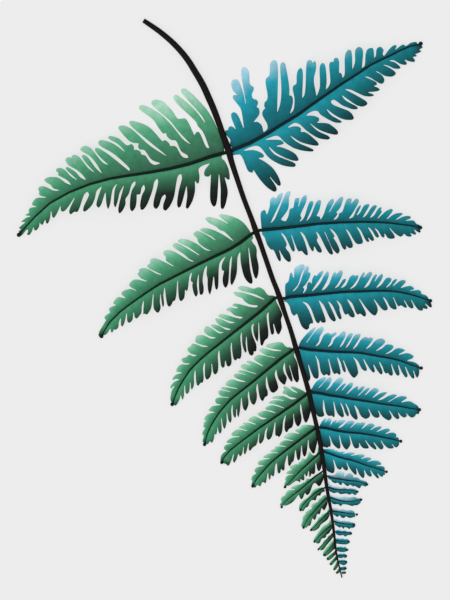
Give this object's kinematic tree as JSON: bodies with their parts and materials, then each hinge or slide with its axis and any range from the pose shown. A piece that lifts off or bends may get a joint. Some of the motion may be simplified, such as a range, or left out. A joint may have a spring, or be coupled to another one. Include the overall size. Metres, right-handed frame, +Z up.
{
  "type": "fern frond",
  "caption": "Cut fern frond that lies flat, a dark stem with thin arched leaflets cut into rounded lobes, green on one side and teal on the other.",
  "frame": {"origin": "on the surface it lies on, under the middle of the frond's box", "axes": "+Z up from the surface, +Y towards the cut end of the stem, +X towards the teal side"},
  "size_m": [0.417, 0.5606, 0.0153],
  "materials": {
    "green_blade": "soft matt",
    "teal_blade": "soft matt",
    "dark_stem": "dull satin"
  },
  "bodies": {
    "root": {"pinna_left_01": "green_blade", "pinna_left_02": "green_blade", "pinna_left_03": "green_blade", "pinna_left_04": "green_blade", "pinna_left_05": "green_blade", "pinna_left_06": "green_blade", "pinna_left_07": "green_blade", "pinna_left_08": "green_blade", "pinna_left_09": "green_blade", "pinna_left_10": "green_blade", "pinna_left_11": "green_blade", "pinna_left_12": "green_blade", "pinna_left_13": "green_blade", "pinna_left_14": "green_blade", "pinna_left_15": "green_blade", "pinna_left_16": "green_blade", "pinna_left_17": "green_blade", "pinna_left_18": "green_blade", "pinna_right_01": "teal_blade", "pinna_right_02": "teal_blade", "pinna_right_03": "teal_blade", "pinna_right_04": "teal_blade", "pinna_right_05": "teal_blade", "pinna_right_06": "teal_blade", "pinna_right_07": "teal_blade", "pinna_right_08": "teal_blade", "pinna_right_09": "teal_blade", "pinna_right_10": "teal_blade", "pinna_right_11": "teal_blade", "pinna_right_12": "teal_blade", "pinna_right_13": "teal_blade", "pinna_right_14": "teal_blade", "pinna_right_15": "teal_blade", "pinna_right_16": "teal_blade", "pinna_right_17": "teal_blade", "pinna_right_18": "teal_blade", "pinna_right_19": "teal_blade", "rachis_and_midribs": "dark_stem"}
  },
  "joints": []
}
